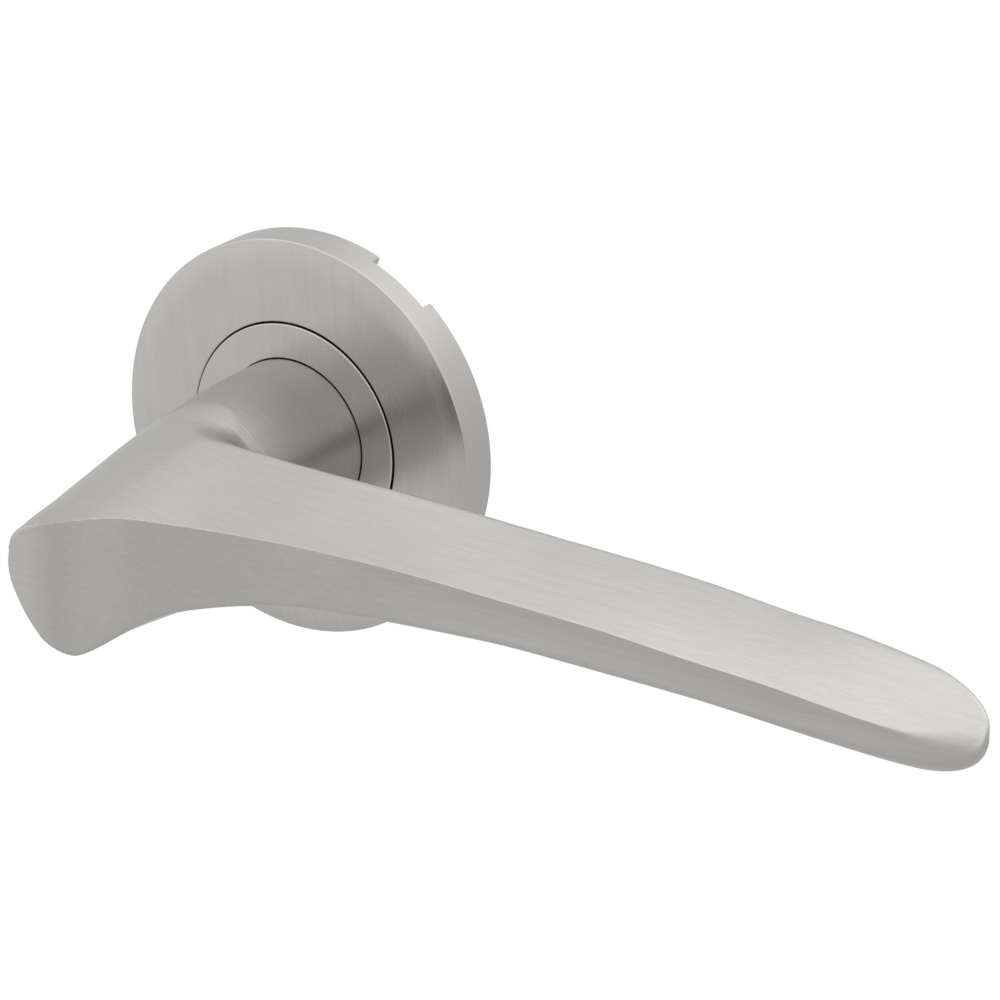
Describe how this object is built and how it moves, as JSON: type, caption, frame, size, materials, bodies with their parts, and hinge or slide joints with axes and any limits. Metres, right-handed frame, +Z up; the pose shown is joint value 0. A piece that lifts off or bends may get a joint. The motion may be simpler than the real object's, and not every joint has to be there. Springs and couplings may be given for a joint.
{
  "type": "door lever handle",
  "caption": "Satin steel door lever handle: a slim creased lever with an angled elbow, turning on a round sprung rose with bolt-through fixing and a square spindle.",
  "frame": {"origin": "centre of the rose on the face of the door, on the lever's turning axis", "axes": "+X along the lever towards its tip, +Y into the door along the turning axis, +Z up; the lever is at its horizontal rest position"},
  "size_m": [0.1459, 0.0857, 0.054],
  "materials": {
    "brushed_lever": "satin stainless steel, brushed along the grip and round the neck",
    "satin_steel": "satin stainless steel, straight brush lines",
    "plated_steel": "plain zinc plated pressed and turned steel",
    "zinc_steel": "bright zinc plate with a faint yellow tint",
    "spring_steel": "dark oiled spring steel",
    "black_nylon": "black glass-filled nylon",
    "bush_nylon": "natural nylon bearing material"
  },
  "bodies": {
    "rose": {"rose_cover": "satin_steel", "mounting_plate": "black_nylon", "cover_snap_ring": "spring_steel", "spring_housing": "plated_steel", "housing_lid": "plated_steel", "front_bush": "bush_nylon", "rear_bush": "bush_nylon", "return_spring": "spring_steel", "stop_pin_rest": "spring_steel", "stop_pin_down": "spring_steel", "fixing_screw_upper": "zinc_steel", "fixing_screw_lower": "zinc_steel", "fixing_lug_upper": "zinc_steel", "fixing_lug_lower": "zinc_steel"},
    "lever": {"lever_handle": "brushed_lever", "lever_journal": "plated_steel", "swivel_collar": "satin_steel", "spring_driver": "plated_steel", "thrust_washer": "plated_steel", "wave_washer": "spring_steel", "retaining_ring": "spring_steel", "spindle": "zinc_steel", "spindle_grub_screw": "spring_steel"}
  },
  "joints": [
    {"name": "lever_turn", "type": "hinge", "parent": "rose", "child": "lever", "pos_m": [0, 0, 0], "axis": [0, 1, 0], "range_deg": [0, 45], "stiffness_Nm_per_rad": 0.8, "springref_deg": -51.57, "deforming": ["return_spring"]}
  ]
}
